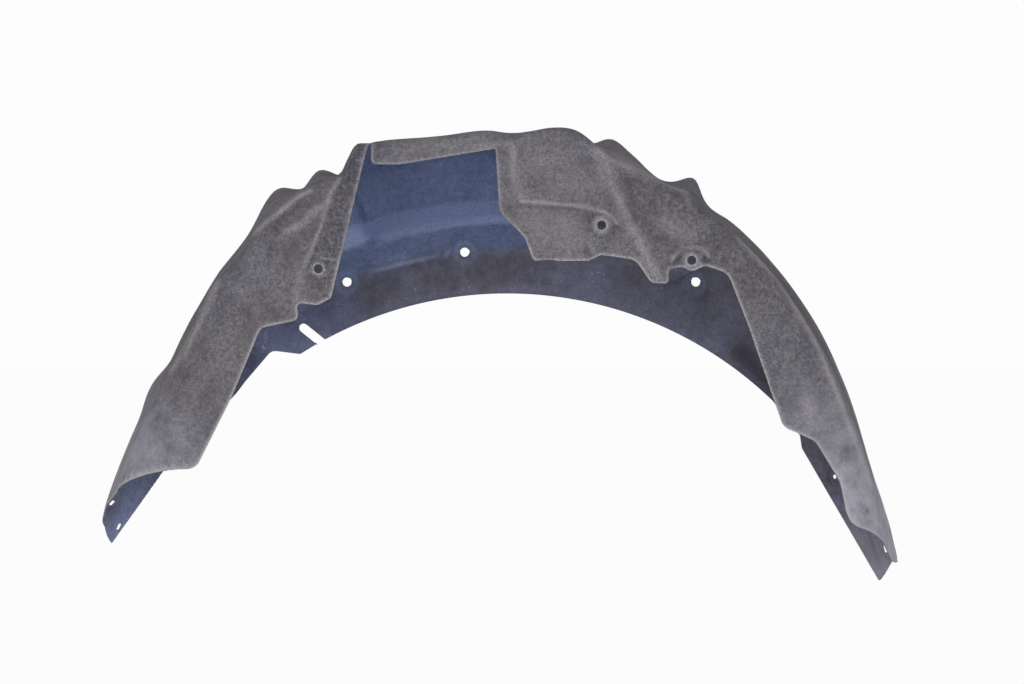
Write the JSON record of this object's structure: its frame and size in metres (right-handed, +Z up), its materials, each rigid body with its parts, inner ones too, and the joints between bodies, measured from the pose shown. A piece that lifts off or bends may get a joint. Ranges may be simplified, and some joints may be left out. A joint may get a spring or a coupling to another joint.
{
  "type": "wheel arch liner",
  "caption": "Arched felt liner for a car's wheel well, moulded in one thin sheet with a flat screw lip, a domed crown and a cut-out inboard wall.",
  "frame": {"origin": "midway between the two outer lip screw holes, on the outboard face of the lip", "axes": "+X along the car, +Y outboard along the lip screws and the axle, +Z up"},
  "size_m": [0.759, 0.265, 0.4262],
  "materials": {
    "felt": "matte needled felt, smoother and bluish on the wheel side"
  },
  "bodies": {
    "root": {"liner": "felt"}
  },
  "joints": []
}
